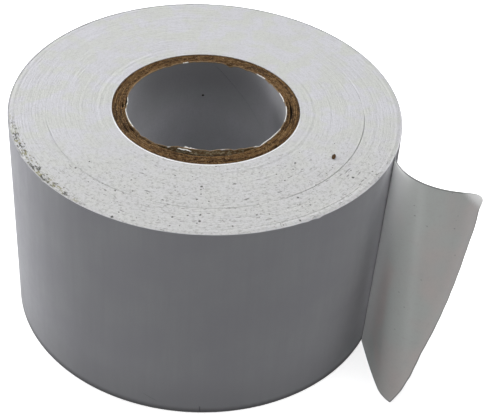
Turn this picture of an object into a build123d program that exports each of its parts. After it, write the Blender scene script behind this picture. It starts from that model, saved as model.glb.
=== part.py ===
from build123d import *
import math
import os

# A roll of PVC duct tape on a spiral-wound paperboard core, with its loose end peeled away.
# Origin: centre of the bore on the lower face. +Z runs up the bore. Millimetres and degrees.

# Tape: one long strip of film, with adhesive on the face that looks at the core
TAPE_WIDTH = 50.0
FILM = 0.11
ADHESIVE = 0.02
TAPE = FILM + ADHESIVE

# Core: a liner paper inside kraft plies, each of them a strip wound in a helix
BORE_R = 17.0
CORE_R = 20.0
LINER = 0.18
PLY_COUNT = 6
PLY = (CORE_R - BORE_R - LINER) / PLY_COUNT
WINDING_PITCH = 105.0
SEAM_GAP = 0.25
SEAM_OVERRUN = 1.0
LINER_SEAM_AZIMUTH = -84.0
SEAM_STEP = 137.0

# Winding: full turns, wound clockwise seen from above, and one last turn over them
FULL_TURNS = 165
LAST_TURN_START = -40.0
LAST_TURN_R = CORE_R + FULL_TURNS * TAPE
SLACK_GROOVE_R = 33.7
SLACK_GROOVE_WIDTH = 0.15
SLACK_GROOVE_DEPTH = 0.3

# Peel line: where the last turn leaves the roll. Its foot is further along the tape than its top.
PEEL_AZIMUTH = -21.8
PEEL_LEAN = 1.8
PEEL_R = LAST_TURN_R + 1.5 * TAPE
PEEL_TRIM = 6.0

# Loose end: flat it is a strip with a slanted cut, and its creases fan out from near its foot
TAIL_TOP = 29.4
TAIL_FOOT = 21.2
TAIL_LIFT = 1.4
CREASE_GAP = 0.4
FAN_START = 2.5
FAN_STEP = 5.0
FAN_FOOT = 19.7
FAN_SPREAD = 35.6
PEEL_BEND = 35.0
FAN_BENDS = [32.0, 35.0, 32.0, 24.0, 6.0]

os.makedirs("parts", exist_ok=True)


def save(shape, name):
    shape.label = name
    export_step(shape, f"parts/{name}.step")


def polar(radius, azimuth, height=0.0):
    turn = math.radians(azimuth)
    return Vector(radius * math.cos(turn), radius * math.sin(turn), height)


# ---------------------------------------------------------------- core


def seam_cut(inner, outer, azimuth):
    """The helical gap where the two edges of one wound strip meet."""
    length = TAPE_WIDTH + 2 * SEAM_OVERRUN
    path = Helix(WINDING_PITCH, length, (inner + outer) / 2, center=(0, 0, -SEAM_OVERRUN))
    across = Plane(origin=path @ 0, x_dir=(1, 0, 0), z_dir=path % 0)
    ribbon = sweep(across * Rectangle(3 * (outer - inner), SEAM_GAP), path=path, is_frenet=True)
    lead = 360 * SEAM_OVERRUN / WINDING_PITCH
    return Rot(0, 0, azimuth - lead) * ribbon


def core_layer(inner, outer, seam_azimuth):
    tube = extrude(Circle(outer) - Circle(inner), TAPE_WIDTH)
    return tube - seam_cut(inner, outer, seam_azimuth)


def make_core():
    save(core_layer(BORE_R, BORE_R + LINER, LINER_SEAM_AZIMUTH), "core_liner")
    for i in range(PLY_COUNT):
        inner = BORE_R + LINER + i * PLY
        azimuth = LINER_SEAM_AZIMUTH + (i + 1) * SEAM_STEP
        save(core_layer(inner, inner + PLY, azimuth), f"core_ply_{i + 1}")


# ---------------------------------------------------------------- winding


def spiral(radius, turned):
    """Two arcs that run clockwise from the last turn's start and gain one tape in a full turn."""
    shift = polar(TAPE / 2, LAST_TURN_START)
    first = CenterArc((0, 0), radius, LAST_TURN_START, -180)
    second = CenterArc(shift, radius + TAPE / 2, LAST_TURN_START - 180, 180 - turned)
    return [first, second]


def make_wound_tape():
    """Every full turn as one pack, whose outside rises by one tape at the last turn's start."""
    outside = spiral(LAST_TURN_R, 360)
    step = Line(outside[1] @ 1, outside[0] @ 0)
    pack = extrude(make_face([*outside, step]) - Circle(CORE_R), TAPE_WIDTH, dir=(0, 0, 1))
    ring = Circle(SLACK_GROOVE_R + SLACK_GROOVE_WIDTH) - Circle(SLACK_GROOVE_R)
    groove = extrude(ring, SLACK_GROOVE_DEPTH)
    pack -= groove
    pack -= Pos(0, 0, TAPE_WIDTH - SLACK_GROOVE_DEPTH) * groove
    save(pack, "wound_tape")


def last_turn_layer(inner, outer):
    """One layer of the last turn, trimmed along the peel line."""
    turned = 360 + LAST_TURN_START - PEEL_AZIMUTH + PEEL_TRIM
    low = spiral(inner, turned)
    high = spiral(outer, turned)
    ends = [Line(low[0] @ 0, high[0] @ 0), Line(low[1] @ 1, high[1] @ 1)]
    band = extrude(make_face([*low, *high, *ends]), TAPE_WIDTH, dir=(0, 0, 1))
    return band - trim_block()


def trim_block():
    """What lies past the peel line, less half the gap of its crease."""
    top = polar(PEEL_R, PEEL_AZIMUTH, TAPE_WIDTH)
    foot = polar(PEEL_R, foot_azimuth())
    along = polar(1, (PEEL_AZIMUTH + foot_azimuth()) / 2 - 90)
    middle = (top + foot) / 2
    block = Box(PEEL_TRIM, PEEL_TRIM, 2 * TAPE_WIDTH, align=(Align.MIN, Align.CENTER, Align.CENTER))
    place = Plane(origin=middle - along * (CREASE_GAP / 2), x_dir=along, z_dir=top - foot)
    return place * block


def foot_azimuth():
    """Where the peel line meets the foot's edge: its lean on the tape, and the tape's own lift."""
    lean = PEEL_LEAN + TAPE_WIDTH * math.sin(math.radians(TAIL_LIFT))
    return PEEL_AZIMUTH - math.degrees(lean / PEEL_R)


def make_last_turn():
    inner = LAST_TURN_R
    save(last_turn_layer(inner, inner + ADHESIVE), "last_turn_adhesive")
    save(last_turn_layer(inner + ADHESIVE, inner + TAPE), "last_turn_film")


# ---------------------------------------------------------------- loose end


# The loose end is drawn flat: X along the tape from the top of the peel line, Y up from its
# foot's edge to its top edge, and Z towards the core, with the middle of the tape at Z = 0.


def creases():
    """Each crease as where it meets the top edge and where it meets the line of the foot's edge."""
    lines = [(0.0, PEEL_LEAN)]
    for i in range(len(FAN_BENDS)):
        top = FAN_START + i * FAN_STEP
        lines.append((top, FAN_FOOT + top**2 / FAN_SPREAD))
    return lines


def panel_outline(index):
    """The flat outline between one crease and the next, or the free end after the last one."""
    lines = creases()
    top, foot = lines[index]
    past_end = (2 * TAIL_TOP, 2 * TAIL_TOP)
    next_top, next_foot = lines[index + 1] if index + 1 < len(lines) else past_end
    gap = CREASE_GAP / 2
    corners = [
        (top + gap, TAPE_WIDTH),
        (next_top - gap, TAPE_WIDTH),
        (next_foot - gap, 0),
        (foot + gap, 0),
    ]
    strip = [(0, TAPE_WIDTH), (TAIL_TOP, TAPE_WIDTH), (TAIL_FOOT, 0), (PEEL_LEAN, 0)]
    return Polygon(*corners, align=None) & Polygon(*strip, align=None)


def fold_out(shape, index):
    """Carries a flat shape through its own crease and every crease before it, onto the roll."""
    bends = [PEEL_BEND, *FAN_BENDS]
    lines = creases()
    for i in reversed(range(index + 1)):
        top, foot = lines[i]
        shape = shape.rotate(Axis((foot, 0, 0), (top - foot, TAPE_WIDTH, 0)), bends[i])
    return tail_plane().location * shape


def tail_plane():
    """The plane that touches the roll along the peel line, tipped up a little along the tape."""
    facing = PEEL_AZIMUTH - math.degrees(PEEL_LEAN / 2 / PEEL_R)
    along = polar(1, facing - 90)
    inward = polar(-1, facing)
    top = polar(PEEL_R, PEEL_AZIMUTH, TAPE_WIDTH)
    along += Vector(0, 0, math.tan(math.radians(TAIL_LIFT)))
    across = inward.cross(along).normalized()
    return Plane(origin=top - across * TAPE_WIDTH, x_dir=along, z_dir=inward)


def tail_layer(index, low, high):
    flat = extrude(Pos(0, 0, low) * panel_outline(index), high - low, dir=(0, 0, 1))
    return fold_out(flat, index)


def make_tail():
    outside = -TAPE / 2
    for i in range(1 + len(FAN_BENDS)):
        save(tail_layer(i, outside, outside + FILM), f"tail_film_{i + 1}")
        save(tail_layer(i, outside + FILM, outside + TAPE), f"tail_adhesive_{i + 1}")


make_core()
make_wound_tape()
make_last_turn()
make_tail()
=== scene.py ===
import math

import bmesh
import bpy
import numpy as np
from mathutils import Matrix, Vector

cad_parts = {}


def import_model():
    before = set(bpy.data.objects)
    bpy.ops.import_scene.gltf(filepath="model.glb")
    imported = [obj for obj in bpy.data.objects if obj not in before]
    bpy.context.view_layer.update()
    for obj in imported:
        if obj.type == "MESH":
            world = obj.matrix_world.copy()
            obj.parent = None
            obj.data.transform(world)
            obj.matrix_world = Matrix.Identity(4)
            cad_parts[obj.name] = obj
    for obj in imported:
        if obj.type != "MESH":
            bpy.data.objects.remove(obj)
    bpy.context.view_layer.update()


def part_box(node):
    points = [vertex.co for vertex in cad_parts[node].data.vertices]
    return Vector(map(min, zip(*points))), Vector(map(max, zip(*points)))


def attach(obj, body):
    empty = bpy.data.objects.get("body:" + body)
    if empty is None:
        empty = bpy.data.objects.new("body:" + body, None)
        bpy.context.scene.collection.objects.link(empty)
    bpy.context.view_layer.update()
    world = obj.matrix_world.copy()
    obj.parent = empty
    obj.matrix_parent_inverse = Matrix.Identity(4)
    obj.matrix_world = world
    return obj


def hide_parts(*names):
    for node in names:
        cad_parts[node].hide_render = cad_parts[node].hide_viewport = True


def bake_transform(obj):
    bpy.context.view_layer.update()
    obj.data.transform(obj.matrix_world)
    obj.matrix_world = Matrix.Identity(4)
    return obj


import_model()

# A roll of white film duct tape on a paperboard core. It stands on one end, and its loose end is
# peeled away and curls outwards. Lengths are in millimetres and angles in degrees here, and each
# mesh turns into metres as it is made. Azimuths are measured about the bore from +X.

MM = 0.001

# Tape and core. The width and the core's radius come from the frame; the thin layers are as in CAD.
TAPE_WIDTH = round(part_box("wound_tape")[1].z / MM, 1)
CORE_R = round(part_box("core_ply_6")[1].y / MM, 1)
CORE_WALL = 3.0
BORE_R = CORE_R - CORE_WALL
LINER = 0.18
PLY_COUNT = 6
PLY = (CORE_WALL - LINER) / PLY_COUNT
FILM = 0.11
ADHESIVE = 0.02
TAPE = FILM + ADHESIVE
FULL_TURNS = 165
LAST_TURN_R = CORE_R + FULL_TURNS * TAPE

# Helical seams of the core, each where one strip's edges meet
WINDING_PITCH = 105.0
LINER_SEAM_AZIMUTH = -84.0
SEAM_STEP = 137.0

# The last turn and the line where it leaves the roll
LAST_TURN_START = -40.0
UNDERLAP = 40.0
PEEL_AZIMUTH = -21.8
PEEL_LEAN = 1.8
PEEL_R = LAST_TURN_R + 1.5 * TAPE
PEEL_BEND = 30.9

# Loose end, drawn flat: x along the tape from the top of the peel line, y up from its foot's edge
TAIL_TOP = 27.65
TAIL_FOOT = 21.08
TAIL_LIFT = 1.4
CORNER_R = 3.0
# The corner curls back past a line across it: which way is square to that line, the curl's radius,
# and how far in from the corner it starts
CORNER_CURL_WAY = (0.4, 0.9165)
CORNER_CURL_R = 2.6
CORNER_CURL_REACH = 3.3


# ---------------------------------------------------------------- shapes


def polar(radius, azimuth, height):
    turn = np.radians(azimuth)
    return np.stack(np.broadcast_arrays(radius * np.cos(turn), radius * np.sin(turn), height), -1)


def smoothstep(value, start, end):
    t = np.clip((value - start) / (end - start), 0, 1)
    return t * t * (3 - 2 * t)


def bump(azimuth, centre, half_width):
    """1 at an azimuth, falling smoothly to 0 at half_width from it on either side."""
    away = np.abs((azimuth - centre + 180) % 360 - 180)
    return 1 - smoothstep(away, 0, half_width)


def plateau(azimuth, start, full, fade, end):
    """Rises from 0 to 1 between start and full, and falls back to 0 between fade and end."""
    turned = (np.asarray(azimuth) - start) % 360
    return smoothstep(turned, 0, full - start) * (1 - smoothstep(turned, fade - start, end - start))


def ripple(azimuths, waves, seed):
    """A smooth random curve round a ring, from -1 to 1, with about this many waves to a turn."""
    rng = np.random.default_rng(seed)
    total = np.zeros_like(azimuths, float)
    for wave in range(1, waves + 1):
        total += rng.normal() * np.sin(np.radians(wave * azimuths + rng.uniform(0, 360)))
    return total / np.abs(total).max()


def loft(name, sections, material, closed=False, tape=None, bend=None, sharp=35):
    """A solid skin through sections of one point count each. Closed joins the last section to the
    first. Otherwise both ends are capped, each point k to the point that far from the section's
    end. tape holds each point's place on the flat tape, for the materials to read, and bend its
    share of a joint's turn."""
    sections = np.asarray(sections, float)
    count, around = sections.shape[:2]
    index = np.arange(count * around).reshape(count, around)
    here = index if closed else index[:-1]
    there = np.roll(index, -1, 0) if closed else index[1:]
    skin = np.stack([here, there, np.roll(there, -1, 1), np.roll(here, -1, 1)], -1).reshape(-1, 4)
    faces = skin.tolist()
    if not closed:
        for row in (index[0], index[-1]):
            for k in range(around // 2 - 1):
                faces.append([row[k], row[k + 1], row[-2 - k], row[-1 - k]])
    mesh = bpy.data.meshes.new(name)
    mesh.from_pydata((sections.reshape(-1, 3) * MM).tolist(), [], faces)
    if tape is not None:
        places = mesh.attributes.new("tape", "FLOAT_VECTOR", "POINT")
        places.data.foreach_set("vector", np.asarray(tape, np.float32).ravel())
    if bend is not None:
        shares = mesh.attributes.new("bend", "FLOAT", "POINT")
        shares.data.foreach_set("value", np.repeat(bend, around).astype(np.float32))
    return finished(mesh, material, sharp)


def finished(mesh, material, sharp=35):
    """Cleans a closed mesh, turns its faces outwards, and makes an object of it."""
    work = bmesh.new()
    work.from_mesh(mesh)
    bmesh.ops.remove_doubles(work, verts=work.verts, dist=1e-7)
    bmesh.ops.dissolve_degenerate(work, edges=work.edges, dist=1e-8)
    bmesh.ops.recalc_face_normals(work, faces=work.faces)
    work.to_mesh(mesh)
    work.free()
    mesh.shade_smooth()
    mesh.set_sharp_from_angle(angle=math.radians(sharp))
    mesh.materials.append(material)
    return new_object(mesh.name, mesh)


def new_object(name, data):
    obj = bpy.data.objects.new(name, data)
    bpy.context.scene.collection.objects.link(obj)
    return obj


def stand_for(obj, node, body="roll"):
    """Puts an object in the place of a CAD node. One given no body rides none."""
    if body:
        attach(obj, body)
    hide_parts(node)


# ---------------------------------------------------------------- materials


class Nodes:
    """Short calls for the shader nodes of one tree."""

    def __init__(self, tree):
        self.tree = tree

    def add(self, kind, inputs, **settings):
        node = self.tree.nodes.new(kind)
        for key, value in settings.items():
            setattr(node, key, value)
        for key, value in inputs.items():
            self.put(node.inputs[key], value)
        return node

    def put(self, socket, value):
        if isinstance(value, bpy.types.NodeSocket):
            self.tree.links.new(value, socket)
        else:
            socket.default_value = value

    def math(self, operation, a, b=0.0, c=0.0):
        return self.add("ShaderNodeMath", {0: a, 1: b, 2: c}, operation=operation).outputs[0]

    def vector_math(self, operation, a, b=(0, 0, 0)):
        return self.add("ShaderNodeVectorMath", {0: a, 1: b}, operation=operation).outputs[0]

    def place(self):
        """Where the point is in the frame, in millimetres."""
        here = self.add("ShaderNodeTexCoord", {}).outputs["Object"]
        return self.vector_math("MULTIPLY", here, (1 / MM, 1 / MM, 1 / MM))

    def tape_place(self):
        """What a piece's "tape" attribute holds at the point."""
        return self.add("ShaderNodeAttribute", {}, attribute_name="tape").outputs["Vector"]

    def split(self, vector):
        return self.add("ShaderNodeSeparateXYZ", {0: vector}).outputs

    def join(self, x, y, z):
        return self.add("ShaderNodeCombineXYZ", {0: x, 1: y, 2: z}).outputs[0]

    def stretch(self, vector, x, y, z):
        return self.vector_math("MULTIPLY", vector, (x, y, z))

    def noise(self, vector, scale, detail=2.0, roughness=0.5):
        inputs = {"Vector": vector, "Scale": scale, "Detail": detail, "Roughness": roughness}
        return self.add("ShaderNodeTexNoise", inputs).outputs[0]

    def spots(self, vector, scale):
        """A cell pattern: each point's distance to its cell's centre, and the cell's own colour."""
        node = self.add("ShaderNodeTexVoronoi", {"Vector": vector, "Scale": scale})
        return node.outputs["Distance"], node.outputs["Color"]

    def between(self, value, low, high, start=0.0, end=1.0):
        """Takes low to start and high to end, smoothly, and holds still outside them."""
        inputs = {"Value": value, "From Min": low, "From Max": high, "To Min": start, "To Max": end}
        return self.add("ShaderNodeMapRange", inputs, interpolation_type="SMOOTHSTEP").outputs[0]

    def mix(self, factor, first, second):
        inputs = {0: factor, 6: first, 7: second}
        return self.add("ShaderNodeMix", inputs, data_type="RGBA").outputs[2]

    def wash(self, tint, value, low, high, start, end, over):
        """A tint with another over it, from start to end as a value goes from low to high."""
        return self.mix(self.between(value, low, high, start, end), tint, colour(*over))

    def product(self, a, b):
        return self.math("MULTIPLY", a, b)

    def sum(self, a, b):
        return self.math("ADD", a, b)

    def less(self, a, b):
        return self.math("SUBTRACT", a, b)

    def shift(self, vector, by):
        return self.vector_math("ADD", vector, by)


class Shader(Nodes):
    """One procedural material on a Principled shader."""

    def __init__(self, name, **values):
        self.material = bpy.data.materials.new(name)
        self.material.use_nodes = True
        super().__init__(self.material.node_tree)
        self.principled = self.tree.nodes["Principled BSDF"]
        for key, value in values.items():
            self.set("IOR" if key == "ior" else key.title(), value)

    def set(self, key, value):
        self.put(self.principled.inputs[key], value)

    def relief(self, height, depth):
        """Bump whose height of 1 stands this many millimetres proud."""
        inputs = {"Height": height, "Distance": depth * MM, "Strength": 1.0}
        self.set("Normal", self.add("ShaderNodeBump", inputs).outputs[0])


def colour(red, green, blue):
    """A colour given as it shows on a screen, 0 to 255, as the linear values that shaders take."""
    levels = [c / 255 for c in (red, green, blue)]
    return (*[c / 12.92 if c <= 0.04045 else ((c + 0.055) / 1.055) ** 2.4 for c in levels], 1)


def ring_place(s, place, along, across):
    """The point's radius, and a place for marks that are long round the roll and narrow across."""
    x, y, _ = s.split(place)
    flat = s.join(x, y, 0)
    radius = s.add("ShaderNodeVectorMath", {0: flat}, operation="LENGTH").outputs["Value"]
    way_x, way_y, _ = s.split(s.vector_math("NORMALIZE", flat))
    ring = s.join(s.product(radius, across), s.product(way_x, along), s.product(way_y, along))
    return radius, ring


# Thin marks low on the film's front: azimuth at the lower end, the two heights, how far along the
# tape they run for each millimetre up, half width, and strength
FILM_MARKS = [
    (-88, -1, 2.3, 0.05, 0.1, 0.7),
    (-100.4, 2.3, 4.2, 2.1, 0.12, 0.35),
]
# Painted light on the film beside the peel line, in the wedge under the loose end: from where to
# where, along the tape
CREASE_LIGHT_STRETCH = (-262.5, -253)


def line_mark(s, along, height, azimuth, low, high, lean, half, strength):
    """The strength of a short straight line on the last turn, or 0 off it."""
    start = math.radians(PEEL_AZIMUTH - azimuth - 360) * PEEL_R
    centre = s.math("MULTIPLY_ADD", s.less(height, low), lean, start)
    away = s.math("ABSOLUTE", s.less(along, centre))
    low_end = s.between(height, low, low + 0.3)
    high_end = s.between(height, high - 0.8, high, 1, 0)
    across = s.between(away, half, 2 * half, strength, 0)
    return s.product(across, s.product(low_end, high_end))


def film_material():
    """The outer face of the film: satin, with faint lines left across it by the winding."""
    s = Shader("film_face", roughness=0.42, ior=1.5)
    along, height, short = s.split(s.tape_place())
    place = s.join(along, height, 0)
    cloud = s.noise(s.stretch(place, 0.09, 0.09, 1), 1, 3)
    lines = s.noise(s.stretch(place, 0.7, 0.035, 1), 1, 3, 0.6)
    grain = s.noise(place, 2.4, 3, 0.65)
    tint = s.mix(s.between(cloud, 0.35, 0.65), colour(184, 184, 190), colour(189, 190, 194))
    tint = s.wash(tint, lines, 0.35, 0.7, 0, 0.5, (181, 181, 187))
    tint = s.wash(tint, grain, 0.3, 0.75, 0, 0.35, (178, 178, 183))
    # Painted light: the film beside the peel line, in the wedge under the loose end, is lighter
    tint = s.wash(tint, along, *CREASE_LIGHT_STRETCH, 0.85, 0, (236, 236, 240))
    scuff = s.noise(s.stretch(place, 0.5, 2.6, 1), 1, 4, 0.7)
    tint = s.wash(tint, scuff, 0.66, 0.74, 0, 0.5, (150, 150, 154))
    # Painted shade: the film darkens towards its foot, as in the shade near the floor
    tint = s.wash(tint, height, 0, 13, 0.42, 0, (152, 152, 156))
    foot = s.between(height, 0.1, 1, 1, 0)
    dirt = s.product(foot, s.between(grain, 0.4, 0.62))
    tint = s.mix(s.product(dirt, 0.6), tint, colour(120, 118, 112))
    # Painted shade: darker still along its lowest two millimetres, next to the floor
    tint = s.wash(tint, height, 0.2, 1.8, 0.8, 0, (104, 104, 106))
    for mark in FILM_MARKS:
        tint = s.mix(line_mark(s, along, height, *mark), tint, colour(104, 104, 110))
    # Painted dark sheen: a grey line along the loose end's foot, cut and top edges
    loose = s.between(along, -1, 1)
    for reach in (height, short, s.less(TAPE_WIDTH, height)):
        line = s.product(s.between(reach, 0.03, 0.12, 0.75, 0), loose)
        tint = s.mix(line, tint, colour(112, 112, 112))
    s.set("Base Color", tint)
    s.set("Roughness", s.between(s.noise(place, 0.35, 3), 0.3, 0.7, 0.36, 0.5))
    waves = s.noise(s.stretch(place, 0.22, 0.05, 1), 1, 2)
    rise = s.sum(s.product(waves, 6), s.product(grain, 0.25))
    s.relief(s.sum(rise, s.product(lines, 0.4)), 0.02)
    return s.material


def edges_material():
    """The flat ends of the winding, where every turn's cut edge shows: matt, finely ringed and
    mottled, with specks, short rubbed lines and hair scratches, most of them towards the front,
    and a painted highlight on the raised lip next to the core."""
    s = Shader("tape_edges", roughness=0.7, ior=1.45)
    place = s.place()
    x, y, _ = s.split(place)
    front = s.between(s.sum(s.product(x, -0.1), y), -31, -2, 1, 0)
    radius, ring = ring_place(s, place, 9, 3.6)
    turns = s.noise(ring, 1, 3, 0.6)
    cloud = s.noise(place, 0.16, 3, 0.55)
    hue = s.noise(place, 0.2, 2)
    grain = s.noise(place, 2.6, 3, 0.7)
    mottle = s.noise(s.shift(place, (5, 9, 0)), 1.3, 4, 0.7)
    tint = s.mix(s.between(hue, 0.42, 0.58), colour(203, 205, 201), colour(206, 206, 212))
    tint = s.mix(s.product(front, 0.8), tint, colour(203, 203, 202))
    tint = s.wash(tint, cloud, 0.35, 0.7, 0, 0.4, (199, 199, 201))
    tint = s.wash(tint, grain, 0.45, 0.75, 0, 0.5, (178, 178, 178))
    tint = s.wash(tint, turns, 0.5, 0.72, 0, 0.3, (184, 184, 186))
    shade = s.product(s.between(mottle, 0.5, 0.62), s.between(front, 0, 1, 0.16, 0.5))
    tint = s.mix(shade, tint, colour(158, 158, 156))
    tint = tape_marks(s, place, front, tint)
    rim = s.between(radius, 38.8, 41)
    outermost = s.between(radius, 41.2, 41.35, 1, 0.2)
    left = s.sum(s.product(x, 0.848), s.product(y, 0.53))
    left = s.between(left, -39.6, -36.2, 1, 0)
    _, dash_place = ring_place(s, s.shift(place, (0, 0, 11)), 40, 2.4)
    dashes = s.noise(dash_place, 1, 4, 0.75)
    soil = s.between(s.sum(dashes, s.product(rim, 0.13)), 0.6, 0.66)
    soil = s.product(s.product(soil, s.between(rim, 0, 0.3)), s.product(left, outermost))
    olive = s.between(s.noise(place, 0.5, 2), 0.45, 0.6)
    soil_hue = s.mix(olive, colour(58, 58, 50), colour(134, 130, 84))
    tint = s.mix(s.product(soil, 0.9), tint, soil_hue)
    # Painted highlight: a near-white ring on the raised lip next to the core, at the front and
    # left, where its edge catches the light
    lip = s.between(radius, CORE_R + 0.16, CORE_R + 0.34, 1, 0)
    left_front = s.between(y, -9, -1, 1, 0.1)
    tint = s.mix(s.product(lip, left_front), tint, colour(244, 244, 245))
    s.set("Base Color", tint)
    s.set("Roughness", s.between(grain, 0.3, 0.7, 0.6, 0.8))
    s.relief(s.sum(s.product(turns, 1.4), grain), 0.06)
    return s.material


# Specks: how many cells to a millimetre, size, share of the cells that have one, and grey level
SPECKS = [(0.36, 0.24, 0.4, 40), (0.6, 0.18, 0.45, 76), (1.2, 0.13, 0.4, 120)]
# Rubbed lines: how fine across and along the turns, how much noise makes one, and grey level
RUBS = [(3.4, 30, 0.66, 128), (2.2, 16, 0.68, 104)]


def tape_marks(s, place, front, tint):
    """Dark specks, short lines rubbed along the turns, and curly hair scratches."""
    wander = s.noise(place, 3.1, 2)
    for scale, size, share, level in SPECKS:
        away, cell = s.spots(s.shift(place, (level, 0, 0)), scale)
        size_here = s.product(s.between(front, 0, 1, 0.45, 1), size)
        away = s.sum(s.math("DIVIDE", away, scale), s.product(wander, 0.3))
        away = s.math("DIVIDE", away, size_here)
        dot = s.between(away, 1.6, 2.1, 1, 0)
        few = s.product(s.between(front, 0, 1, 0.25, 1), share)
        dot = s.product(dot, s.math("LESS_THAN", s.split(cell)[0], few))
        tint = s.mix(s.product(dot, 0.85), tint, colour(level, level, level - 4))
    for across, along, low, level in RUBS:
        _, ring = ring_place(s, s.shift(place, (0, 0, level)), along, across)
        rub = s.between(s.noise(ring, 1, 1.5), low, low + 0.05)
        rub = s.product(rub, s.between(front, 0.15, 1, 0.08, 0.75))
        tint = s.mix(rub, tint, colour(level, level, level - 3))
    curls = s.noise(s.shift(place, (17, 3, 0)), 0.55, 1)
    hair = s.between(s.math("ABSOLUTE", s.less(curls, 0.5)), 0.006, 0.014, 1, 0)
    broken = s.between(s.noise(s.shift(place, (1, 41, 0)), 0.7, 2), 0.56, 0.62)
    hair = s.product(s.product(hair, broken), s.between(front, 0.2, 1, 0.1, 0.6))
    return s.mix(hair, tint, colour(120, 120, 116))


def adhesive_material():
    """The sticky face: smoother than the film, with warm and cool clouds, dust and small marks, a
    grey line of painted dark sheen along its edges, a painted highlight on its curled corner,
    and painted light near the peel line and towards its free end."""
    s = Shader("adhesive_face", roughness=0.38, ior=1.48)
    x, y, short = s.split(s.tape_place())
    place = s.join(x, y, 0)
    cloud = s.noise(place, 0.07, 3, 0.5)
    warm = s.noise(s.shift(place, (31, 7, 0)), 0.06, 2)
    tint = s.mix(s.between(warm, 0.42, 0.58), colour(216, 220, 217), colour(226, 217, 214))
    tint = s.wash(tint, cloud, 0.35, 0.7, 0, 0.4, (212, 211, 210))
    grain = s.noise(place, 1.9, 4, 0.7)
    tint = s.wash(tint, grain, 0.45, 0.8, 0, 0.4, (204, 202, 200))
    mark = s.noise(s.stretch(place, 0.9, 1.7, 1), 0.9, 4, 0.8)
    tint = s.wash(tint, mark, 0.68, 0.76, 0, 0.6, (150, 148, 146))
    smear = s.noise(s.stretch(place, 0.35, 0.6, 1), 1, 5, 0.75)
    tint = s.wash(tint, smear, 0.5, 0.7, 0, 0.3, (205, 203, 201))
    wander = s.shift(s.stretch(place, 0.55, 1, 1), s.join(grain, warm, 0))
    away, cell = s.spots(wander, 0.55)
    chosen = s.math("LESS_THAN", s.split(cell)[0], 0.45)
    dust = s.product(s.between(away, 0.04, 0.1, 1, 0), chosen)
    tint = s.mix(s.product(dust, 0.5), tint, colour(104, 102, 100))
    # Painted light: lighter near the peel line and towards the free end, where light comes through
    # the thin film
    tint = s.wash(tint, x, 2, 10, 1, 0, (253, 254, 253))
    tint = s.wash(tint, x, 20, 26, 0, 0.4, (246, 244, 243))
    # Painted highlight: the curled corner is painted near white, where it catches the light
    way_x, way_y = CORNER_CURL_WAY
    short_x = s.less(x, TAIL_TOP)
    short_y = s.less(y, TAPE_WIDTH)
    corner = s.math("MULTIPLY_ADD", short_x, way_x / way_y, short_y)
    pale = s.between(s.sum(corner, s.product(grain, 1.6)), -3.5, -1.9)
    tint = s.mix(s.product(pale, 0.95), tint, colour(255, 255, 255))
    # Painted dark sheen: a grey line along the cut, foot and top edges, fading out under the
    # corner's painted highlight
    for reach in (short, y, s.less(TAPE_WIDTH, y)):
        line = s.between(reach, 0.12, 0.36, 0.7, 0)
        line = s.product(line, s.between(pale, 0, 0.5, 1, 0.1))
        tint = s.mix(line, tint, colour(120, 120, 120))
    s.set("Base Color", tint)
    s.set("Roughness", s.between(cloud, 0.3, 0.7, 0.3, 0.46))
    s.relief(s.sum(s.product(cloud, 6), s.product(grain, 0.5)), 0.02)
    return s.material


def board_material():
    """Cut paperboard: brown fibres that run round the core, some of them torn and dark, and painted
    shade that turns it near black below its cut ends, in the gaps between plies.
    """
    s = Shader("kraft_board", roughness=0.92, ior=1.4)
    place = s.place()
    radius, ring = ring_place(s, place, 15, 2.1)
    fibres = s.noise(ring, 1, 5, 0.78)
    _, band_place = ring_place(s, s.shift(place, (0, 0, 3)), 2, 1.7)
    bands = s.noise(band_place, 1, 2)
    grain = s.noise(place, 2.1, 5, 0.8)
    tint = s.mix(s.between(bands, 0.4, 0.6), colour(78, 55, 30), colour(118, 88, 52))
    tint = s.wash(tint, fibres, 0.5, 0.6, 0, 0.8, (146, 114, 74))
    tint = s.wash(tint, fibres, 0.38, 0.47, 0.9, 0, (44, 28, 14))
    tint = s.wash(tint, grain, 0.57, 0.64, 0, 0.85, (184, 156, 116))
    tint = s.wash(tint, grain, 0.36, 0.44, 0.85, 0, (36, 22, 10))
    skin = s.between(radius, CORE_R - 0.5, CORE_R - 0.1, 0, 0.65)
    tint = s.mix(skin, tint, colour(66, 46, 24))
    # Painted shade: the board turns near black below its cut ends, down in the gaps between plies
    height = s.split(place)[2]
    inwards = s.math("MINIMUM", height, s.less(TAPE_WIDTH, height))
    tint = s.wash(tint, inwards, 0.3, 0.9, 0, 0.97, (14, 9, 5))
    s.set("Base Color", tint)
    s.relief(s.sum(s.product(fibres, 1.5), grain), 0.2)
    return s.material


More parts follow.
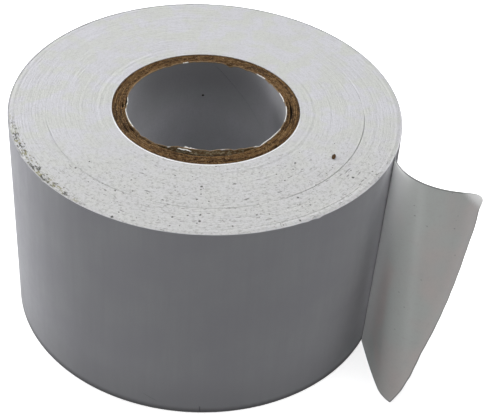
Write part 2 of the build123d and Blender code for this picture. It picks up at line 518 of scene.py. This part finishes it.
def liner_material():
    """The paper inside the bore: pale and a little rough, with brown fibres torn from the next ply
    on its back. Its cut edge is tan, and white where the paper itself is torn. Painted shade
    darkens the bore's back and right walls towards their top, and the liner's back below its top."""
    s = Shader("liner_paper", roughness=0.62, ior=1.45)
    place = s.place()
    whiteness, height, side = s.split(s.tape_place())
    cloud = s.noise(place, 0.14, 3, 0.6)
    grain = s.noise(place, 2.2, 3, 0.7)
    tint = s.mix(s.between(cloud, 0.35, 0.65), colour(186, 187, 190), colour(192, 192, 197))
    tint = s.wash(tint, grain, 0.4, 0.8, 0, 0.5, (169, 169, 173))
    # Painted shade: the back wall of the bore is darker towards its top
    px, py, _ = s.split(place)
    behind = s.math("MULTIPLY_ADD", px, -0.09, py)
    high = s.between(height, TAPE_WIDTH - 17, TAPE_WIDTH - 2, 0, 0.78)
    shade = s.product(s.between(behind, 3, 16), high)
    tint = s.mix(shade, tint, colour(122, 122, 124))
    # Painted shade: the right wall of the bore is darker towards its top
    high = s.between(height, TAPE_WIDTH - 20, TAPE_WIDTH - 5)
    right_wall_shade = s.product(s.between(px, 13.5, 17), high)
    tint = s.mix(s.product(right_wall_shade, 0.85), tint, colour(128, 128, 131))
    torn = s.noise(s.stretch(place, 1, 1, 2.2), 1.3, 4, 0.75)
    back = s.mix(s.between(torn, 0.45, 0.62), colour(104, 80, 50), colour(170, 158, 128))
    back = s.wash(back, torn, 0.3, 0.42, 0.8, 0, (66, 48, 28))
    # Painted shade: the liner's back turns near black a millimetre below its top, down in the gap
    # behind it
    deep = s.between(height, TAPE_WIDTH - 1.2, TAPE_WIDTH - 0.7, 0.95, 0)
    back = s.mix(deep, back, colour(14, 9, 5))
    tint = s.mix(s.between(side, 0.35, 0.65), back, tint)
    edge = s.between(height, TAPE_WIDTH - 0.28, TAPE_WIDTH - 0.12)
    cut = s.mix(s.between(whiteness, 0.3, 0.7), colour(140, 116, 82), colour(240, 239, 234))
    tint = s.mix(s.product(edge, s.between(grain, 0.3, 0.5, 0.35, 1)), tint, cut)
    s.set("Base Color", tint)
    s.relief(s.sum(s.product(cloud, 2), grain), 0.04)
    return s.material


def dark_speck_material():
    s = Shader("dark_speck", roughness=0.85)
    tint = s.mix(s.noise(s.place(), 5, 3), colour(20, 18, 16), colour(58, 52, 46))
    s.set("Base Color", tint)
    return s.material


# ---------------------------------------------------------------- core

CORE_STEPS = 600
# How far a ply's cut end stands below the tape's width, and how much more at its edges and seam
PLY_SHORT = 0.06
CUT_DIP = 0.1
SEAM_DIP = 0.4
SEAM_HALF = 0.9
OPENING_DEPTH = 2.4
# Places where the plies have come apart: boundary, azimuth, half width and gap
OPENINGS = [
    (1, -178, 3, 0.45),
    (1, -149, 6, 0.55),
    (3, -151, 9, 0.5),
    (2, -141, 9, 0.16),
    (2, 0, 17, 0.4),
    (1, -22, 12, 0.14),
    (5, -41, 3, 0.5),
    (5, -57, 13, 0.16),
    (4, -75, 20, 0.14),
    (3, -100, 14, 0.12),
    (4, 35, 22, 0.12),
    (2, 75, 10, 0.2),
    (3, 110, 16, 0.1),
]


def boundary(index, azimuths):
    """The radius where ply index starts: a little uneven, but for the two skins of the core."""
    radius = BORE_R + LINER + index * PLY
    if 0 < index < PLY_COUNT:
        radius = radius + 0.05 * ripple(azimuths, 9, 40 + index)
    return radius + np.zeros_like(azimuths)


def opening(index, azimuths):
    """Half the gap between ply index and the one inside it, at the cut end."""
    half = 0.012 + 0.02 * (1 + ripple(azimuths, 30, 60 + index))
    for place, centre, half_width, gap in OPENINGS:
        if place == index:
            half = half + gap / 2 * bump(azimuths, centre, half_width) ** 0.5
    return half


def core_ply(index, material):
    """One kraft ply as a ring. Its cut ends are rough, and dip at the edges and at its seam."""
    rng = np.random.default_rng(100 + index)
    azimuths = np.arange(CORE_STEPS) * 360 / CORE_STEPS
    inner = boundary(index, azimuths)
    outer = boundary(index + 1, azimuths)
    inner_gap = opening(index, azimuths) if index else 0
    outer_gap = opening(index + 1, azimuths) if index + 1 < PLY_COUNT else 0
    seam = LINER_SEAM_AZIMUTH + (index + 1) * SEAM_STEP
    across = np.linspace(0, 1, 6)
    dips = CUT_DIP * (2 * across - 1) ** 4
    low = inner + inner_gap
    high = outer - outer_gap
    radii = low[:, None] + across * (high - low)[:, None]
    ends = []
    for end in (1, -1):
        lead = 360 * TAPE_WIDTH / WINDING_PITCH if end > 0 else 0
        rough = rng.normal(0, 0.05, radii.shape)
        rough += 0.07 * ripple(azimuths, 60, 20 + 7 * index + end)[:, None]
        at_seam = SEAM_DIP * bump(azimuths, seam + lead, SEAM_HALF)
        sunk = PLY_SHORT + dips + at_seam[:, None] + np.abs(rough)
        height = TAPE_WIDTH - sunk if end > 0 else sunk
        ends.append(polar(radii, azimuths[:, None], height))
    top, foot = ends
    wall_z = [TAPE_WIDTH - OPENING_DEPTH, OPENING_DEPTH]
    outer_wall = [polar(outer, azimuths, z)[:, None] for z in wall_z]
    inner_wall = [polar(inner, azimuths, z)[:, None] for z in reversed(wall_z)]
    sections = np.concatenate([top, *outer_wall, foot[:, ::-1], *inner_wall], 1)
    ply = loft(f"kraft_ply_{index + 1}", sections, material, closed=True, sharp=50)
    stand_for(ply, f"core_ply_{index + 1}")


LINER_STEPS = 520
LINER_SEAM_GAP = 0.1
# The liner's top edge: where it is torn down (azimuth, half width, depth), where it has come loose
# and leans into the bore (start, full, fade, end, how far in, from how deep), and where its torn
# edge is white (start, full, fade, end, whiteness)
LINER_TEARS = [
    (178, 3, 0.5),
    (160, 2, 0.2),
    (120, 5, 0.2),
    (74, 5, 0.6),
    (60, 3, 0.25),
    (38, 2.5, 0.3),
    (12, 3, 0.25),
    (-14, 2, 0.2),
    (-48, 4, 0.25),
    (-67, 5, 0.3),
    (-86, 4, 0.2),
    (-117, 3, 0.3),
    (-140, 5, 0.35),
]
LINER_FLAPS = [
    (-128, -106, -76, -47, 1.75, 3.2),
    (170, 177, 180, 190, 0.35, 1.2),
    (-48, -40, -32, -20, 0.12, 1),
    (5, 20, 30, 50, 0.2, 1.5),
]
WHITE_EDGES = [
    (172, 175, 181, 184, 1),
    (184, 190, 206, 214, 1),
    (-80, -76, -72, -68, 0.6),
    (-57, -50, -26, -20, 1),
    (-16, -12, 2, 6, 0.9),
    (10, 13, 20, 24, 0.9),
    (40, 44, 49, 53, 0.8),
    (104, 106, 108, 110, 1),
    (242, 243, 244, 245, 1),
]
# Rows of points near either end of the liner, as distances from it. Between them they are even.
LINER_END_ROWS = np.array([0, 0.15, 0.4, 0.7, 1.1, 1.6, 2.2, 3.2])
LINER_ROW_STEP = 2.0


def core_liner(material):
    """The liner as one strip wound in a helix, from one edge of its seam to the other."""
    even = np.arange(TAPE_WIDTH - 5.0, 4.5, -LINER_ROW_STEP)
    heights = np.concatenate([TAPE_WIDTH - LINER_END_ROWS, even, LINER_END_ROWS[::-1]])
    lead = 360 * heights / WINDING_PITCH
    gap = math.degrees(LINER_SEAM_GAP / BORE_R)
    turn = np.linspace(gap / 2, 360 - gap / 2, LINER_STEPS)
    azimuth = LINER_SEAM_AZIMUTH + turn[:, None] + lead
    rng = np.random.default_rng(5)
    frayed = 0.05 * ripple(turn, 90, 3) + rng.normal(0, 0.03, LINER_STEPS)
    near_top = smoothstep(heights, TAPE_WIDTH - 1.5, TAPE_WIDTH)
    near_foot = 1 - smoothstep(heights, 0, 1.5)
    top_azimuth = azimuth[:, 0]
    torn = sum(depth * bump(top_azimuth, centre, width) for centre, width, depth in LINER_TEARS)
    down = (frayed + torn)[:, None] * near_top
    up = np.abs(0.08 * ripple(turn, 70, 4))[:, None] * near_foot
    z = heights - down + up
    lean = sum(
        size * plateau(azimuth, *where) * smoothstep(heights, TAPE_WIDTH - deep, TAPE_WIDTH)
        for *where, size, deep in LINER_FLAPS
    )
    white = sum(size * plateau(azimuth, *where) for *where, size in WHITE_EDGES)
    white = np.clip(white + 0.25 * ripple(turn, 50, 6)[:, None], 0, 1)
    inner_r = BORE_R + 0.01 - lean
    outer_r = inner_r + LINER - 0.02
    inner = polar(inner_r, azimuth, z)
    outer = polar(outer_r, azimuth, z)[:, ::-1]
    level = np.broadcast_to(heights, azimuth.shape)
    bore_side = np.stack([white, level, np.ones_like(white)], -1)
    back_side = np.stack([white, level, np.zeros_like(white)], -1)[:, ::-1]
    tape = np.concatenate([bore_side, back_side], 1)
    liner = loft("bore_liner", np.concatenate([inner, outer], 1), material, tape=tape)
    stand_for(liner, "core_liner")


FLAKE_STEPS = 26
# The flake: its azimuths, the radius at its first end, how far it leans in, its half width and
# how far its middle is below the tape's width
FLAKE_START = -111.0
FLAKE_END = -95.0
FLAKE_R = 15.55
FLAKE_LEAN = 0.5
FLAKE_HALF = 0.3
FLAKE_DROP = 0.25


def liner_flake(material):
    """A torn sliver of the liner that stands off its loose edge."""
    along = np.linspace(0, 1, FLAKE_STEPS)
    azimuth = FLAKE_START + (FLAKE_END - FLAKE_START) * along
    radius = FLAKE_R - FLAKE_LEAN * along + 0.1 * ripple(360 * along, 5, 11)
    uneven = 1 + 0.35 * ripple(360 * along, 7, 12)
    half = 0.05 + FLAKE_HALF * np.sin(math.pi * along) ** 0.6 * uneven
    height = TAPE_WIDTH - FLAKE_DROP + 0.12 * ripple(360 * along, 3, 13)
    thick = LINER / 2
    upper = [(-half, 0.6 * half), (half, -0.5 * half)]
    lower = [(out, up - thick) for out, up in reversed(upper)]
    corners = upper + lower
    sections = np.stack([polar(radius + out, azimuth, height + up) for out, up in corners], 1)
    tape = np.zeros_like(sections) + (1, TAPE_WIDTH, 1)
    flake = loft("liner_flake", sections, material, tape=tape)
    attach(flake, "roll")


# ---------------------------------------------------------------- winding

FACE_STEPS = 360
TOP_RINGS = 104
FOOT_RINGS = 50
# Slack between turns, which shows as a fine groove: radius, depth, and the stretches where it is
# open (start, full, fade, end, how open)
GROOVES = [
    (33.7, 0.34, [
        (-170, -158, -125, -108, 1),
        (-66, -56, -6, 4, 1),
        (4, 10, 30, 60, 0.3),
        (-112, -100, -76, -66, 0.4),
    ]),
    (39.9, 0.1, [
        (-78, -70, -40, -34, 0.8),
        (-150, -140, -120, -110, 0.4),
    ]),
    (24.6, 0.08, [(-100, -80, -50, -30, 0.4)]),
    (36.8, 0.1, [(-95, -85, -60, -50, 0.6)]),
    (29.3, 0.06, [(-130, -110, -70, -50, 0.4)]),
]
GROOVE_HALF = 0.1


def spiral_r(azimuths):
    """The inner radius of the last turn, which starts under its own end and climbs clockwise."""
    turned = (LAST_TURN_START - azimuths + UNDERLAP) % 360 - UNDERLAP
    return LAST_TURN_R + TAPE * turned / 360


def face_radii(count, seed):
    """Shares of the way out from the core, uneven as the turns are, and close at each groove."""
    rng = np.random.default_rng(seed)
    span = LAST_TURN_R - CORE_R
    even = np.linspace(0, span, count)
    even[1:-1] += rng.uniform(-0.04, 0.04, count - 2)
    middles = np.array([groove[0] - CORE_R for groove in GROOVES])
    clear = np.abs(even[:, None] - middles).min(1) > 2 * GROOVE_HALF
    clear[[0, -1]] = True
    sides = np.concatenate([middles + side * GROOVE_HALF for side in (-1, 0, 1)])
    return np.sort(np.concatenate([even[clear], sides])) / span


def face_height(radii, azimuths, seed):
    """How far each point of a flat end sinks below the tape's width."""
    rng = np.random.default_rng(seed)
    rings = radii.shape[1]
    level = rng.normal(0, 0.014, rings)
    swell = sum(
        0.012 * np.outer(ripple(azimuths, 6, seed + k), np.cos(np.linspace(0, 3 + 4 * k, rings)))
        for k in range(4)
    )
    sunk = 0.05 + level + swell + rng.normal(0, 0.006, radii.shape)
    for radius, depth, stretches in GROOVES:
        open_here = 0.06 + sum(share * plateau(azimuths, *where) for *where, share in stretches)
        inside = np.clip(1 - np.abs(radii - radius) / GROOVE_HALF, 0, 1)
        sunk += depth * inside * open_here[:, None]
    worn = smoothstep(radii, LAST_TURN_R - 0.7, LAST_TURN_R)
    sunk += worn * (0.05 + 0.04 * ripple(azimuths, 50, seed + 9))[:, None]
    near_rim = smoothstep(radii, LAST_TURN_R - 0.5, LAST_TURN_R)
    for centre, width, depth in NICKS:
        sunk += 0.7 * depth * near_rim * bump(azimuths, centre, width)[:, None]
    lip = 1 - smoothstep(radii, CORE_R, CORE_R + 0.3)
    return np.maximum(sunk - 0.04 * lip, 0)


def wound_turns(material):
    """All the full turns as one pack. Only its two ends show, finely ringed by the turns' edges."""
    azimuths = np.arange(FACE_STEPS) * 360 / FACE_STEPS
    wall = spiral_r(azimuths)[:, None] - CORE_R
    top_r = CORE_R + face_radii(TOP_RINGS, 21) * wall
    foot_r = CORE_R + face_radii(FOOT_RINGS, 22) * wall
    top = polar(top_r, azimuths[:, None], TAPE_WIDTH - face_height(top_r, azimuths, 21))
    foot = polar(foot_r, azimuths[:, None], face_height(foot_r, azimuths, 22))[:, ::-1]
    pack = loft("wound_turns", np.concatenate([top, foot], 1), material, closed=True, sharp=50)
    stand_for(pack, "wound_tape")


# The faces of the film and of the adhesive, as depths from the middle of the tape, and how far the
# adhesive's edges stand back from the film's, on the roll and on the loose end
OUTSIDE = -TAPE / 2
INSIDE_FILM = OUTSIDE + FILM
INSIDE = TAPE / 2
ROLL_STICKY = (INSIDE_FILM, INSIDE, 0.05)
LOOSE_STICKY = (INSIDE_FILM, INSIDE, 0.04)
# Shares of the width where the last turn has rows of points, close together at its edges
ROLL_ROWS = np.array([50, 49.94, 49.7, 49, 47, 43, 38, 32, 25, 18, 12, 7, 3, 1, 0.3, 0.06, 0]) / 50
ROLL_STEP = 0.9
# Where the loose end's first piece takes over from the last turn, on the top edge, and over what
# length before it the rows lean over from upright to the peel line
JOIN_AT = -2.6
LEAN_OVER = 12.0
# Nicks in the last turn's top edge: azimuth, half width in degrees, and depth
NICKS = [
    (-34.5, 0.5, 0.35),
    (-57.5, 1.1, 0.5),
    (-61, 0.7, 0.2),
    (-112, 0.5, 0.15),
    (-139, 0.9, 0.3),
    (-152, 1.4, 0.35),
    (-166, 1, 0.25),
]


def roll_lean():
    """How much further along the roll the peel line's foot is than its top."""
    return PEEL_LEAN + TAPE_WIDTH * math.sin(math.radians(TAIL_LIFT))


def azimuth_along(x):
    """The azimuth at a place along the tape."""
    return PEEL_AZIMUTH - np.degrees(x / PEEL_R)


def on_roll(x, y, depth):
    """A point of the last turn, x along the tape from the top of the peel line, y up from its foot,
    and depth towards the core from the middle of the tape's thickness."""
    azimuth = azimuth_along(x)
    turned = 360 + LAST_TURN_START - azimuth
    radius = LAST_TURN_R + TAPE * turned / 360 + TAPE / 2 - depth
    return polar(radius, azimuth, y)


def frayed_edge(x, seed):
    """A little unevenness of a cut edge, along the tape."""
    rng = np.random.default_rng(seed)
    total = 0
    for wave in (0.31, 0.83, 1.9, 4.3, 8.7):
        total = total + rng.uniform(0.4, 1) * np.sin(wave * x + rng.uniform(0, 6))
    return total / 4


def roll_strip(name, near, far, trim, material, node, slot):
    """A layer of the last turn, from under its own end, round the roll and up to the peel line.
    near and far are its faces' depths, and trim is how far its edges stand back."""
    length = math.radians(360 + UNDERLAP + LAST_TURN_START - PEEL_AZIMUTH) * PEEL_R
    tops = np.append(np.arange(JOIN_AT - length, JOIN_AT - 0.05, ROLL_STEP), JOIN_AT)
    lean = roll_lean() * smoothstep(tops, JOIN_AT - LEAN_OVER, JOIN_AT)
    x = tops[:, None] + lean[:, None] * (1 - ROLL_ROWS)
    azimuth = azimuth_along(x)
    nicked = sum(depth * bump(azimuth, centre, width) for centre, width, depth in NICKS)
    uneven = smoothstep(-tops, -JOIN_AT, 6 - JOIN_AT)[:, None]
    low = trim + uneven * 0.03 * (1 + frayed_edge(x, 8))
    high = TAPE_WIDTH - trim - uneven * (0.03 * (1 + frayed_edge(x, 9)) + nicked)
    y = low + (high - low) * ROLL_ROWS
    outer = on_roll(x, y, near)
    inner = on_roll(x, y, far)[:, ::-1]
    places = np.stack([x, y, cut_line(y) - x], -1)
    tape = np.concatenate([places, places[:, ::-1]], 1)
    strip = loft(name, np.concatenate([outer, inner], 1), material, tape=tape)
    stand_for(strip, node)


# ---------------------------------------------------------------- loose end

# Points on each straight line, how finely it is searched for the tape on it, and how close its
# neighbours are where two pieces meet
TAIL_ROWS = 44
RULING_SAMPLES = 4001
SEAM_SLIVER = 0.05
# The straight lines before the sharp bend at the peel line, and in it, where it starts and ends on
# the top edge, and half its width on the foot's
JOIN_LINES = 7
BEND_LINES = 12
BEND_START = -1.6
BEND_END = 0.15
BEND_HALF = 0.35
# The nearly flat facet after it, which ends where the curl starts
APEX = 0.3
FACET_LINES = 20
FACET_BEND = 6.05
# The curl: its straight lines fan out, and it turns fastest at CURL_CENTRE, in radians to a
# millimetre, and not at all CURL_REACH away from there
FAN_STEP = 0.3
FAN_FOOT = 16.24
FAN_SLOPE = 0.531
FAN_SPREAD = 25.1
CURL_PEAK = 0.1513
CURL_CENTRE = 8.5
CURL_REACH = 10.77
# Where one joint's stretch ends and the next begins, along the top edge
PANEL_ENDS = [5.0, 10.0, 15.0, 20.0]
LAST_PANEL_END = 25.0


def tail_frame():
    """The plane that touches the roll along the peel line, tipped up a little along the tape."""
    facing = PEEL_AZIMUTH - math.degrees(PEEL_LEAN / 2 / PEEL_R)
    along = Vector(polar(1, facing - 90, math.tan(math.radians(TAIL_LIFT)))).normalized()
    inward = Vector(polar(-1, facing, 0))
    across = inward.cross(along).normalized()
    origin = Vector(polar(PEEL_R, PEEL_AZIMUTH, TAPE_WIDTH)) - across * TAPE_WIDTH
    place = Matrix((along, across, inward)).transposed().to_4x4()
    place.translation = origin
    return place


def fan_foot(top):
    """Where a straight line of the curl that starts at top meets the line of the foot's edge."""
    return FAN_FOOT + FAN_SLOPE * top + top**2 / FAN_SPREAD


def curl(top):
    """How fast the loose end turns outwards, in radians for each millimetre of its top edge."""
    return CURL_PEAK * (1 - ((top - CURL_CENTRE) / CURL_REACH) ** 2)


def rulings():
    """The straight lines of the loose end, in order along it: where each starts on the top edge,
    where it meets the line of the foot's edge, and the turn made at it, in radians."""
    lines = []
    straight_foot = PEEL_LEAN - BEND_HALF
    for share in np.linspace(0, 1, JOIN_LINES):
        top = JOIN_AT + (BEND_START - JOIN_AT) * share
        foot = JOIN_AT + PEEL_LEAN + (straight_foot - JOIN_AT - PEEL_LEAN) * share
        lines.append((top, foot, 0))
    for k in range(1, BEND_LINES + 1):
        share = k / BEND_LINES
        top = BEND_START + (BEND_END - BEND_START) * share
        foot = PEEL_LEAN - BEND_HALF + 2 * BEND_HALF * share
        lines.append((top, foot, math.radians(PEEL_BEND) / BEND_LINES))
    foot = lines[-1][1]
    shares = np.linspace(0, 1, FACET_LINES + 1)[1:]
    for share in shares:
        top = BEND_END + (APEX - BEND_END) * share
        turn = math.radians(FACET_BEND) * share / shares.sum()
        lines.append((top, foot + (fan_foot(APEX) - foot) * share, turn))
    tops = np.arange(APEX + FAN_STEP, TAIL_TOP + 1, FAN_STEP)
    ends = np.array(PANEL_ENDS)
    clear = tops[np.abs(tops[:, None] - ends).min(1) > 2 * SEAM_SLIVER]
    tops = np.sort(np.concatenate([clear, ends - SEAM_SLIVER, ends, ends + SEAM_SLIVER]))
    before = APEX
    for top in tops:
        middle = (before + top) / 2
        lines.append((top, fan_foot(top), curl(middle) * (top - before)))
        before = top
    return lines


def cut_line(y):
    """The slanted cut across the free end, not quite straight."""
    straight = TAIL_FOOT + (TAIL_TOP - TAIL_FOOT) * y / TAPE_WIDTH
    hollow = 1.15 * smoothstep(y, 42.5, 47.5) * (1 - 0.45 * smoothstep(y, 49, 49.6))
    full = 0.25 * smoothstep(y, 29, 36) * (1 - smoothstep(y, 39, 44))
    full += 0.8 * smoothstep(y, -2, 4.5) * (1 - smoothstep(y, 7, 16))
    return straight - hollow + full + 0.04 * np.sin(0.42 * y + 1) + 0.03 * np.sin(1.7 * y)


def on_tape(x, y, trim):
    """Whether a flat point lies on the loose end: above its foot, below its top edge, short of the
    cut, and inside the rounded corner."""
    inside = (y >= trim) & (y <= TAPE_WIDTH - trim) & (x <= cut_line(y) - trim)
    centre = (TAIL_TOP - 1.07 * CORNER_R, TAPE_WIDTH - CORNER_R)
    in_corner = (x > centre[0]) & (y > centre[1])
    near_enough = np.hypot(x - centre[0], y - centre[1]) <= CORNER_R - trim
    return inside & (~in_corner | near_enough)


def on_loose_end(line, trim):
    """The flat points of one ruling that lie on the tape, from its top to its foot, or None."""
    top, foot = line[:2]
    share = np.linspace(0, 1, RULING_SAMPLES)
    x = top + share * (foot - top)
    y = TAPE_WIDTH * (1 - share)
    found = np.flatnonzero(on_tape(x, y, trim))
    if not len(found):
        return None
    share = np.linspace(share[found[0]], share[found[-1]], TAIL_ROWS)
    return np.stack([top + share * (foot - top), TAPE_WIDTH * (1 - share)], -1)


def corner_curl(x, y):
    """How the free corner bends back, as past a line across it the tape turns in an arc: how far it
    is drawn in along each axis, and how far it stands back."""
    way_x, way_y = CORNER_CURL_WAY
    past = way_x * (x - TAIL_TOP) + way_y * (y - TAPE_WIDTH) + CORNER_CURL_REACH
    past = np.clip(past, 0, None)
    turned = past / CORNER_CURL_R
    drawn_in = past - CORNER_CURL_R * np.sin(turned)
    return way_x * drawn_in, way_y * drawn_in, CORNER_CURL_R * (1 - np.cos(turned))


def carry(matrix, flat, depth):
    """Flat points of one ruling, at a depth towards the core, carried by its matrix."""
    in_x, in_y, back = corner_curl(flat[:, 0], flat[:, 1])
    points = np.stack([flat[:, 0] - in_x, flat[:, 1] - in_y, depth - back], -1)
    turn = np.array(matrix.to_3x3())
    return points @ turn.T + np.array(matrix.translation)


def loose_sections(near, far, trim):
    """Every ruling as a closed section of a layer, with its flat places and its line."""
    matrix = tail_frame()
    made = []
    for line in rulings():
        top, foot, bend = line
        axis = Vector((top - foot, TAPE_WIDTH, 0))
        pivot = Matrix.Translation((foot, 0, 0))
        matrix = matrix @ pivot @ Matrix.Rotation(bend, 4, axis) @ pivot.inverted()
        flat = on_loose_end(line, trim)
        if flat is None:
            break
        faces = []
        for depth in (near, far):
            free = carry(matrix, flat, depth)
            share = 1 - flat[:, 1] / TAPE_WIDTH
            held = on_roll(top + share * roll_lean(), flat[:, 1], depth)
            loose = smoothstep(np.array(top), JOIN_AT, BEND_START)
            faces.append(held + (free - held) * loose)
        section = np.concatenate([faces[0], faces[1][::-1]])
        places = np.column_stack([flat, cut_line(flat[:, 1]) - flat[:, 0]])
        made.append((line, section, np.concatenate([places, places[::-1]])))
    return made


def share_of_bend(line, index):
    """How much of joint index's turn a ruling takes: the peel line's all at its crease, and each
    other joint's spread over its own stretch."""
    top, foot, _ = line
    if index == 0:
        return float(smoothstep(np.array(foot), PEEL_LEAN - 0.1, PEEL_LEAN + 1.6))
    ends = [0, *PANEL_ENDS, LAST_PANEL_END]
    return float(np.clip((top - ends[index - 1]) / (ends[index] - ends[index - 1]), 0, 1))


def loose_pieces(layer, near, far, trim, material, slot):
    """A layer of the loose end in six pieces, each across one joint."""
    sections = loose_sections(near, far, trim)
    tops = np.array([line[0] for line, _, _ in sections])
    facet_middle = int(np.argmin(np.abs(tops - (BEND_END + APEX) / 2)))
    panels = [int(np.argmin(np.abs(tops - end))) for end in PANEL_ENDS]
    joins = [0, facet_middle, *panels, len(tops) - 1]
    for index in range(len(joins) - 1):
        lines, shape, tape = zip(*sections[joins[index]:joins[index + 1] + 1])
        bend = [share_of_bend(line, index) for line in lines]
        piece = loft(f"loose_{layer}_{index + 1}", shape, material, tape=tape, bend=bend)
        blend_over(piece)
        stand_for(piece, f"tail_{layer}_{index + 1}", body=None)


def blend_over(piece):
    """Bakes a piece's place into its mesh and takes each ruling's share of its joint's turn off it.
    The piece itself is not bent.
    """
    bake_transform(piece)
    bend = piece.data.attributes["bend"]
    weights = np.zeros(len(piece.data.vertices), np.float32)
    bend.data.foreach_get("value", weights)
    piece.data.attributes.remove(bend)


# ---------------------------------------------------------------- crumbs


def crumb(name, size, place, lean, material, seed):
    """A small rough grain, size along its own X, Y and Z, lying at place."""
    work = bmesh.new()
    bmesh.ops.create_icosphere(work, subdivisions=3, radius=0.5)
    lumps = np.random.default_rng(seed).normal(size=(6, 3))
    for vert in work.verts:
        waves = np.sin(3.1 * (lumps @ np.array(vert.co.normalized())) + lumps[:, 0])
        vert.co = vert.co * (1 + 0.04 * waves.sum())
    turn = Matrix.Rotation(math.radians(lean), 4, "Z")
    lying = Matrix.Translation(place) @ turn @ Matrix.Diagonal((*size, 1))
    bmesh.ops.transform(work, matrix=Matrix.Scale(MM, 4) @ lying, verts=work.verts)
    mesh = bpy.data.meshes.new(name)
    work.to_mesh(mesh)
    work.free()
    obj = finished(mesh, material, 60)
    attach(obj, "roll")


# ---------------------------------------------------------------- stage

# The camera: how far it looks down, how far right of +Y, its tilt to the side, its place in
# millimetres, and its focal length
CAMERA_DOWN = 39.77
CAMERA_RIGHT = 2.38
CAMERA_TILT = 3.99
CAMERA_PLACE = (0, -226.2, 210.8)
CAMERA_LENS = 96.3

# Each light's name, place and the height that it is aimed at, in metres, its size and its power
LIGHTS = [
    ("overhead", (0, 0, 0.9), 0.05, 0.6, 3.9),
    ("high_left", (-0.6, 0, 0.7), 0.05, 0.6, 1.4),
    ("high_right", (0.6, 0, 0.7), 0.05, 0.6, 2.7),
    ("left_back", (-0.7, 0.6, 0.2), 0.03, 0.5, 12.1),
    ("left_low", (-0.95, 0, 0.06), 0.03, 0.4, 0.9),
    ("front_low", (-0.36, -0.93, 0.06), 0.03, 0.4, 1.1),
    ("front", (-0.3, -0.8, 0.45), 0.03, 0.4, 0.4),
]
# The room: its light from below, which fades to none over the horizon's blur, and how pale it
# looks to the camera
GROUND_LIGHT = 0.166
BACKDROP = 0.9
HORIZON_BLUR = 0.3


def camera():
    """Where the roll is seen from: above its front, looking a little to the right of it."""
    pitch, yaw, roll = np.radians([CAMERA_DOWN, CAMERA_RIGHT, CAMERA_TILT])
    level = Vector((math.sin(yaw), math.cos(yaw), 0))
    forward = level * math.cos(pitch) - Vector((0, 0, math.sin(pitch)))
    right = Vector((math.cos(yaw), -math.sin(yaw), 0))
    up = right.cross(forward)
    side = right * math.cos(roll) + up * math.sin(roll)
    top = up * math.cos(roll) - right * math.sin(roll)
    data = bpy.data.cameras.new("camera")
    data.lens = CAMERA_LENS
    data.sensor_width = 36
    data.clip_start = 0.01
    obj = new_object("camera", data)
    obj.matrix_world = Matrix((side, top, -forward)).transposed().to_4x4()
    obj.matrix_world.translation = Vector(CAMERA_PLACE) * MM
    bpy.context.scene.camera = obj


def softbox(name, place, target_height, size, power):
    data = bpy.data.lights.new(name, "AREA")
    data.shape = "SQUARE"
    data.size = size
    data.energy = power
    obj = new_object(name, data)
    obj.location = place
    obj.rotation_mode = "QUATERNION"
    way = Vector((0, 0, target_height)) - Vector(place)
    obj.rotation_quaternion = way.to_track_quat("-Z", "Y")


def floor():
    bpy.ops.mesh.primitive_plane_add(size=6, location=(0, 0, -0.0002))
    obj = bpy.context.object
    obj.name = "floor"
    s = Shader("pale_floor", roughness=0.9)
    s.set("Base Color", (0.8, 0.8, 0.81, 1))
    s.set("Emission Color", (1, 1, 1, 1))
    s.set("Emission Strength", 0.7)
    obj.data.materials.append(s.material)
    obj.visible_diffuse = False
    obj.visible_glossy = False
    obj.visible_shadow = False


def world():
    """A room that lights the roll from below, and looks pale behind it."""
    made = bpy.data.worlds.new("studio")
    bpy.context.scene.world = made
    made.use_nodes = True
    s = Nodes(made.node_tree)
    height = s.split(s.add("ShaderNodeTexCoord", {}).outputs["Generated"])[2]
    blur = {"From Min": -HORIZON_BLUR, "From Max": HORIZON_BLUR}
    glow = {"Value": height, **blur, "To Min": GROUND_LIGHT, "To Max": 0.0}
    light = s.add("ShaderNodeMapRange", glow).outputs[0]
    by_camera = s.add("ShaderNodeLightPath", {}).outputs["Is Camera Ray"]
    seen = s.add("ShaderNodeMix", {"Factor": by_camera, "A": light, "B": BACKDROP})
    background = s.tree.nodes["Background"]
    s.put(background.inputs["Color"], (0.97, 0.98, 1.0, 1))
    s.put(background.inputs["Strength"], seen.outputs["Result"])


# ---------------------------------------------------------------- the object and its studio

film = film_material()
edges = edges_material()
adhesive = adhesive_material()
board = board_material()
liner = liner_material()

core_liner(liner)
liner_flake(liner)
for number in range(PLY_COUNT):
    core_ply(number, board)
wound_turns(edges)

outer_layer = (OUTSIDE, INSIDE_FILM, 0, film)
roll_strip("last_turn_outer", *outer_layer, "last_turn_film", "tape_film")
roll_strip("last_turn_sticky", *ROLL_STICKY, adhesive, "last_turn_adhesive", "adhesive")
loose_pieces("film", *outer_layer, "tape_film")
loose_pieces("adhesive", *LOOSE_STICKY, adhesive, "adhesive")

crumb_place = Vector(polar(30.75, -30.8, TAPE_WIDTH + 0.1))
crumb("board_crumb", (0.85, 1.7, 0.5), crumb_place, -12, board, 3)
speck_place = Vector(polar(BORE_R - 0.05, 92.9, 41.0))
crumb("bore_speck", (0.55, 0.16, 0.5), speck_place, 0, dark_speck_material(), 4)

floor()
world()
for light in LIGHTS:
    softbox(*light)
camera()

view = bpy.context.scene.view_settings
view.view_transform = "Standard"
view.look = "None"
